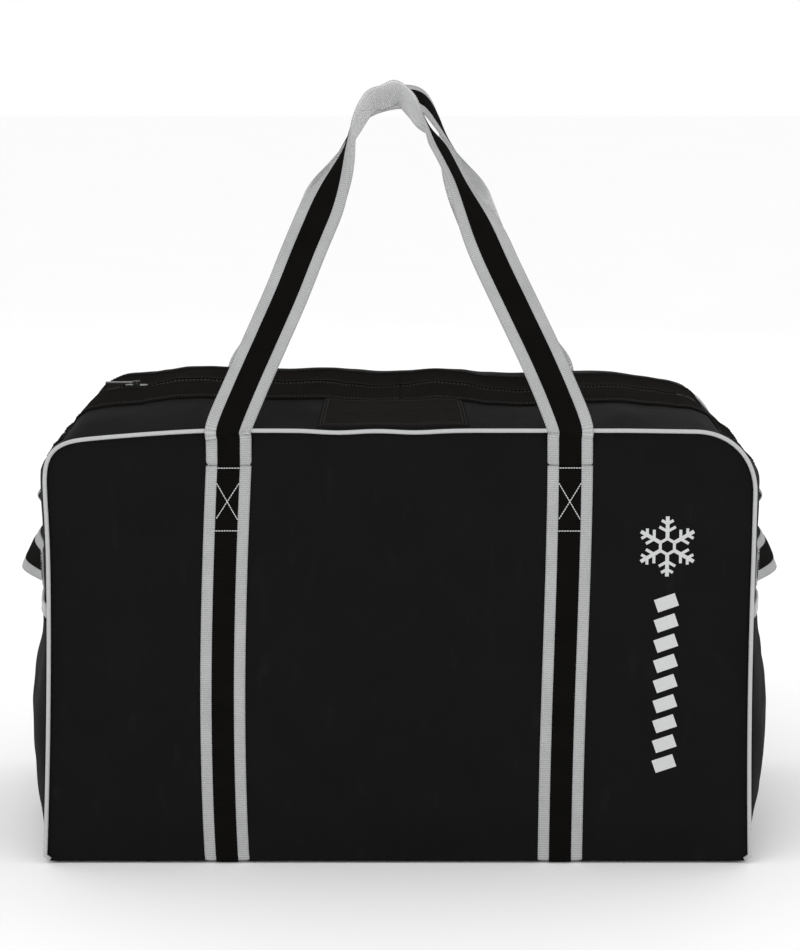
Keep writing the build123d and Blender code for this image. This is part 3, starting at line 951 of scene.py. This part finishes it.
# Middle of each handle's webbing in its leaning plane, as seen from the front: across, and up
# the slope
FRONT_LINE = [
    (-0.1885, 0), (-0.17, 0.05), (-0.148, 0.105), (-0.127, 0.158), (-0.108, 0.211),
    (-0.085, 0.272), (-0.064, 0.332), (-0.051, 0.366), (-0.0365, 0.3925), (-0.019, 0.4015),
    (-0.0035, 0.4055), (0.012, 0.393), (0.027, 0.371), (0.044, 0.344), (0.064, 0.303),
    (0.086, 0.252), (0.108, 0.196), (0.133, 0.138), (0.157, 0.082), (0.175, 0.036),
    (0.187, 0),
]
REAR_LINE = [
    (-0.187, 0), (-0.164, 0.045), (-0.144, 0.1), (-0.122, 0.165), (-0.104, 0.215),
    (-0.087, 0.262), (-0.072, 0.305), (-0.0585, 0.345), (-0.042, 0.38), (-0.02, 0.394),
    (0.006, 0.3985), (0.027, 0.392), (0.043, 0.367), (0.057, 0.332), (0.073, 0.285),
    (0.092, 0.228), (0.115, 0.162), (0.135, 0.108), (0.16, 0.05), (0.1885, 0),
]
FULL_TWIST = {FRONT: radians(100), REAR: radians(90)}
TWIST_START, TWIST_RUN = 0.255, 0.135
RIGHT_LEG_TWIST = [(0.55, 0.205, 0.1), (0.45, 0.335, 0.055)]  # share of the twist, start, run
CROWN_START, CROWN_RUN, SKEW = 0.345, 0.045, 0.26  # the front grip lies askew at its crown
CUPPED = 0.0016  # how far the webbing's edges curl under


def handle_path(face, slope):
    """Middle line of a handle, from the end of one strap to the end of the other."""
    start = Vector((0, face * handle_y, RISER_TOP))
    line = FRONT_LINE if face == FRONT else REAR_LINE[::-1]
    points = [start + Vector((u, 0, 0)) + slope * v for u, v in line]
    ends = []
    for x in (points[0].x, points[-1].x):
        sewn_x = strap_centre(face, RIGHT if x > 0 else LEFT, JOIN_Z)
        sewn = panel_surface(face, sewn_x, JOIN_Z, WEBBING / 2 + STRAP_LIFT)
        over_piping = face * (piping_y + piping_radius + WEBBING / 2)
        ends.append([sewn, Vector((mix(sewn_x, x, 0.45), over_piping, panel_top - 0.01))])
    return smooth_path(ends[0] + points + ends[1][::-1], 9)


def twist_at(face, x, climb):
    """Share of the full twist. The front handle's right leg turns early, then again at its top."""
    even = sin(pi / 2 * smooth_start((climb - TWIST_START) / TWIST_RUN))
    if face == REAR:
        return even
    uneven = sum(share * smooth((climb - start) / run) for share, start, run in RIGHT_LEG_TWIST)
    return mix(even, uneven, smooth((x + 0.04) / 0.08))


def handle_frames(face):
    """Centre, width direction and outer direction of a handle's webbing, with its distance."""
    slope = Vector((0, -face * sin(HANDLE_LEAN), cos(HANDLE_LEAN)))
    out = Vector((0, face * cos(HANDLE_LEAN), sin(HANDLE_LEAN)))
    path = handle_path(face, slope)
    frames = []
    for centre, ahead in zip(path, directions(path)):
        climb = (centre - Vector((0, face * handle_y, RISER_TOP))).dot(slope)
        level = Vector((0, face, 0)).lerp(out, smooth((climb + 0.01) / 0.06)).normalized()
        level = (level - ahead * level.dot(ahead)).normalized()
        inward = ahead.cross(level)
        twist = FULL_TWIST[face] * twist_at(face, centre.x, climb)
        wide = cos(twist) * inward + sin(twist) * level
        outer = cos(twist) * level - sin(twist) * inward
        if face == FRONT:
            wide = (wide - ahead * SKEW * smooth((climb - CROWN_START) / CROWN_RUN)).normalized()
        frames.append((centre, wide, outer))
    return list(zip(frames, distances(path)))


def smooth_start(t):
    """0 to 1, easing in only."""
    t = min(max(t, 0.0), 1.0)
    return t * t * (2 - t) * 0.35 + t * 0.65


def frame_point(station, across, lift):
    centre, wide, outer = station
    cupped = CUPPED * (across / webbing_half) ** 2
    return centre + wide * across + outer * (lift - cupped)


def paint_light_on_reverse(grip):
    """The reverse side of the handle webbing gets a paler copy of the grey webbing: painted light on
    the side that faces down into shade.
    """
    grip.data.materials.append(LIT_REVERSE_WEB)
    for polygon in grip.data.polygons:
        columns = [index % (2 * WEB_COLUMNS) for index in polygon.vertices]
        if len(columns) == 4 and min(columns) >= WEB_COLUMNS:
            polygon.material_index = 1


def make_handle(face):
    name = FACE_NAMES[face]
    frames = handle_frames(face)
    grip, stripe = striped_webbing(f"{name}_handle", frames, frame_point, webbing_half, stripe_half,
                                   -WEBBING / 2, WEBBING / 2)
    paint_light_on_reverse(grip)
    lines = [[(frame_point(station, edge, WEBBING / 2), station[2]) for station, _ in frames]
             for edge in EDGE_LINES]
    thread = stitches(f"{name}_handle_stitching", lines, THREAD, EDGE_STITCH)
    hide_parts(f"{name}_handle")
    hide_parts(f"{name}_handle_stripe")
    for piece in (grip, stripe, thread):
        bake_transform(piece)


# ---- End grab handles ----
GRAB_REACH, GRAB_LEAN = 0.0375, 0.022  # how far a loop stands off, and how much less at its top
GRAB_SAG = 0.003
GRAB_INSET = 0.004  # of the sewn box from the patch's edges


def make_end_handle(side):
    side_name = SIDE_NAMES[side]
    patch_low, patch_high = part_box(f"{side_name}_end_handle_patches")
    middle_z = (patch_low.z + patch_high.z) / 2
    half = (patch_high.z - patch_low.z) / 2
    loop_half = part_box(f"{side_name}_end_handle")[1].y + 0.004
    far = patch_high.y

    def place(y, across, lift):
        slack = max(1 - abs(y / loop_half) ** 1.7, 0.0) ** 1.1
        stand = slack * (GRAB_REACH - GRAB_LEAN * (across + half) / (2 * half))
        q = end_q(middle_z + across - GRAB_SAG * slack)
        return gusset(side_p(side, q), y, lift + stand + 0.0004)

    def sewn_line(a, b):
        def along(t, lift):
            return place(mix(a[0], b[0], t), mix(a[1], b[1], t), WEBBING + STRIPE * 0.9 + lift)

        return thread_line(along, steps(0, 1, 12))

    for face in (FRONT, REAR):
        name = f"{side_name}_{FACE_NAMES[face]}_grab"
        stations = [(face * y, face * y) for y in steps(far, 0, 70)]
        strap, band = striped_webbing(name, stations, place, half, half / 2, 0, WEBBING)
        for piece in (strap, band):
            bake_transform(piece)
        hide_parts(f"{side_name}_end_handle_patches", f"{side_name}_end_handle")
        inner, outer = face * (loop_half + GRAB_INSET), face * (far - GRAB_INSET)
        low, high = -half + GRAB_INSET, half - GRAB_INSET
        a, b, c, d = (inner, low), (outer, low), (outer, high), (inner, high)
        lines = [sewn_line(*ends) for ends in ((a, b), (b, c), (c, d), (d, a), (a, c), (b, d))]
        sew(f"{name}_stitching", lines, THREAD, GRAB_STITCH)


# ---- Zip tabs ----
# A folded tab from the side: share of its reach, and share of half its height
TAB_SHAPE = [(0.0, 0.9), (0.4, 0.92), (0.9, 0.66), (1.18, 0.22), (1.2, -0.12), (0.85, -0.68),
             (0.4, -0.95), (0.0, -0.9)]
TAB_TIP = 1.2  # the furthest share of its reach
TAB_HALF = 0.0009  # half the webbing's thickness


def make_zip_tab(side):
    name = SIDE_NAMES[side]
    low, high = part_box(f"{name}_zip_tab")
    middle_z, tall = (low.z + high.z) / 2, (high.z - low.z) / 2
    wide = (high.y - low.y) / 2
    base = gusset(side_p(side, end_q(middle_z)), 0, 0.001).x
    reach = abs((high.x if side == RIGHT else low.x) - base) / TAB_TIP
    points = [Vector((base + side * reach * u, 0, middle_z + tall * v)) for u, v in TAB_SHAPE]
    path = smooth_path(points, 6)
    across = Vector((0, 1, 0))
    frames = []
    for centre, ahead in zip(path, directions(path)):
        outer = ahead.cross(across) * side
        frames.append((centre, -outer if outer.x * side < -0.3 else outer))

    def place(station, aside, lift):
        return station[0] + across * aside + station[1] * lift

    stations = list(zip(frames, distances(path)))
    tab = webbing(f"{name}_zip_tab_webbing", stations, place, wide, -TAB_HALF, TAB_HALF, GREY_WEB)
    band = webbing(f"{name}_zip_tab_band", stations, place, wide / 2, TAB_HALF - SUNK, 0.0015,
                   BLACK_WEB)
    attach(tab, f"{name}_zip_tab")
    attach(band)
    lines = []
    for foot in (path[0], path[-1]):
        p = side_p(side, end_q(foot.z))
        lines.append(thread_line(lambda y, lift: gusset(p, y, 0.004 + lift),
                                 steps(-wide * 0.8, wide * 0.8, 8)))
    sew(f"{name}_zip_tab_stitching", lines, THREAD, TAB_STITCH)


# ---- End pockets ----
POCKET_FILL = 0.95  # share of the CAD pocket's swell
POCKET_LIFT = 0.0022  # the pocket's skin over the end panel
BINDING_HALF = 0.0021  # half the thickness of the rolled binding


def make_pocket(side):
    name = SIDE_NAMES[side]
    low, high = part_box(f"{name}_end_pocket")
    half = high.y
    pocket_swell = abs(high.x if side == RIGHT else low.x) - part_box("right_end_panel")[1].x
    trim_low, trim_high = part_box(f"{name}_pocket_trim")
    trim_height = trim_high.z - trim_low.z

    def place(z, y, lift=0.0):
        t = (z - low.z) / (high.z - low.z)
        across = max(1 - (y / half) ** 2, 0.0) ** 0.75
        full = smooth(t / 0.2) * (1 - 0.8 * smooth((t - 0.48) / 0.52))
        slump = 0.0035 * ripple(y * 11, z * 9, side * 4.4) + 0.0014 * ripple(y * 30, z * 24, side * 8.1)
        out = across * (pocket_swell * POCKET_FILL * full + slump * smooth(t / 0.2))
        dip = -0.006 * bell(y, 0.01, 0.12) * smooth((t - 0.6) / 0.4)
        return gusset(side_p(side, end_q(z + dip)), y, POCKET_LIFT + out + lift)

    def binding_place(y, across, lift):
        return place(high.z - trim_height / 2 + across + 0.0006, y, lift - FABRIC / 2)

    depths = steps(-half, half, 90)
    pocket = cloth(f"{name}_pocket_skin", steps(low.z, high.z, 70), depths, place,
                   lambda z, y: (y, z), VINYL)
    attach(pocket, f"{name}_end_pocket")
    declare_sheet(pocket)
    stations = [(y, y) for y in steps(-half, half, 120)]
    trim = webbing(f"{name}_pocket_binding", stations, binding_place, trim_height / 2 + 0.0006,
                   -BINDING_HALF, BINDING_HALF, PIPING)
    attach(trim, f"{name}_pocket_trim")
    mouth = high.z - trim_height
    rise = steps(low.z + 0.006, mouth, 40)
    hem = thread_line(lambda y, lift: place(mouth + 0.003, y, 0.0013 + lift), depths)
    seams = [thread_line(lambda z, lift: place(z, edge * (half - 0.004), lift), rise)
             for edge in (-1, 1)]
    seams.append(thread_line(lambda y, lift: place(low.z + 0.005, y, lift), depths))
    sew(f"{name}_pocket_binding_stitching", [hem], THREAD, POCKET_STITCH)
    sew(f"{name}_pocket_stitching", seams, DARK_THREAD, POCKET_STITCH)


# ---- Printed decoration: a plain snow crystal over slanted bars ----
PRINT_X = 0.2965
CRYSTAL_Z, CRYSTAL_RADIUS = 0.367, 0.034
RAY_HALF, TWIG_HALF = 0.0021, 0.0016
TWIGS = [(0.5, 0.0105), (0.76, 0.0075)]  # share of the ray, and length
HUB_START, HUB_RADIUS = 0.007, 0.009
BARS_LOW, BARS_HIGH, BAR_COUNT = 0.118, 0.303, 9
BAR_REACH, BAR_RISE, BAR_HALF = 0.0115, 0.004, 0.0075
INK = 0.00035  # thickness of the print; each bar is a little thicker than the last
INK_STEP = 0.00001


def bar(start, end, half):
    """A straight bar in x and z, as four corners."""
    side = (end - start).normalized().yx * half
    side.x = -side.x
    return [start + side, end + side, end - side, start - side]


def ray(angle):
    return Vector((cos(angle), sin(angle)))


def crystal_bars():
    centre = Vector((PRINT_X, CRYSTAL_Z))
    bars = []
    for k in range(6):
        a = pi / 6 + k * pi / 3
        bars.append(bar(centre + ray(a) * HUB_START, centre + ray(a) * CRYSTAL_RADIUS, RAY_HALF))
        for share, size in TWIGS:
            root = centre + ray(a) * CRYSTAL_RADIUS * share
            for turn in (-pi / 3, pi / 3):
                bars.append(bar(root, root + ray(a + turn) * size, TWIG_HALF))
        hub = [centre + ray(b) * HUB_RADIUS for b in (a, a + pi / 3)]
        bars.append(bar(*hub, TWIG_HALF))
    return bars


def slanted_bars():
    slant = Vector((BAR_REACH, BAR_RISE))
    middles = [Vector((PRINT_X, z)) for z in steps(BARS_HIGH, BARS_LOW, BAR_COUNT)]
    return [bar(middle - slant, middle + slant, BAR_HALF) for middle in middles]


def make_print():
    points, faces, uvs = [], [], []
    across, along = 4, 12
    for k, (a, b, c, d) in enumerate(crystal_bars() + slanted_bars()):
        base = len(points)
        for u in steps(0, 1, across + 1):
            for v in steps(0, 1, along + 1):
                p = mix(mix(a, b, v), mix(d, c, v), u)
                points.append(panel_surface(FRONT, p.x, p.y, INK + INK_STEP * k))
                uvs.append((p.x, p.y))
        faces += [tuple(base + v for v in f) for f in grid_faces(across + 1, along + 1)]
    ink = new_object("front_print", points, faces, uvs, PRINT)
    if sum(f.normal.y * f.area for f in ink.data.polygons) > 0:
        ink.data.flip_normals()
    attach(ink)


# ---- Make everything ----
for face in (FRONT, REAR):
    make_panel(face)
    make_piping(face)
    make_handle(face)
    for side in (LEFT, RIGHT):
        make_top(face, side)
        make_coil(face, side)
        make_top_stitching(face, side)
        make_strap_stitching(face, side)
for side in (LEFT, RIGHT):
    make_end(side)
    make_strap(side)
    make_end_handle(side)
    make_zip_tab(side)
    make_pocket(side)
make_name_patch()
make_bottom()
make_print()
for node, material in (("base_board", BOARD), ("zip_slider", METAL), ("zip_pull", METAL)):
    mesh = bpy.data.objects[node].data
    mesh.materials.clear()
    mesh.materials.append(material)


# ---- Floor and soft studio light ----
FLOOR_HALF = 12.0
LIGHT_TARGET = Vector((0, 0, 0.35))


def floor_material():
    s = Shader("studio_floor", "object")
    s.set(Base_Color=s.colours(s.noise(3, 2), (0.96, 0.96, 0.96), (0.98, 0.98, 0.98)))
    s.set(Roughness=0.9, Specular_IOR_Level=0.1)
    return s.material


def make_floor():
    corners = [(x * FLOOR_HALF, y * FLOOR_HALF, 0) for x, y in ((-1, -1), (1, -1), (1, 1), (-1, 1))]
    mesh = bpy.data.meshes.new("floor")
    mesh.from_pydata(corners, [], [(0, 1, 2, 3)])
    mesh.materials.append(floor_material())
    floor = bpy.data.objects.new("floor", mesh)
    scene.collection.objects.link(floor)


def add_light(name, place, size, power):
    data = bpy.data.lights.new(name, "AREA")
    data.size = size
    data.energy = power
    lamp = bpy.data.objects.new(name, data)
    lamp.location = place
    lamp.rotation_euler = (LIGHT_TARGET - Vector(place)).to_track_quat("-Z", "Y").to_euler()
    scene.collection.objects.link(lamp)


make_floor()
add_light("key", (-1.2, -2.6, 3.0), 2.2, 22)
add_light("fill", (0.9, -3.4, 0.45), 1.6, 15)
add_light("top", (0.2, 0.6, 3.2), 2.4, 2.5)
add_light("back", (0.8, 3.2, 2.0), 2.4, 8)
world = bpy.data.worlds.new("studio")
world.use_nodes = True
background = world.node_tree.nodes["Background"].inputs
background["Color"].default_value = (1, 1, 1, 1)
background["Strength"].default_value = 1.0
scene.world = world
scene.view_settings.view_transform = "Standard"
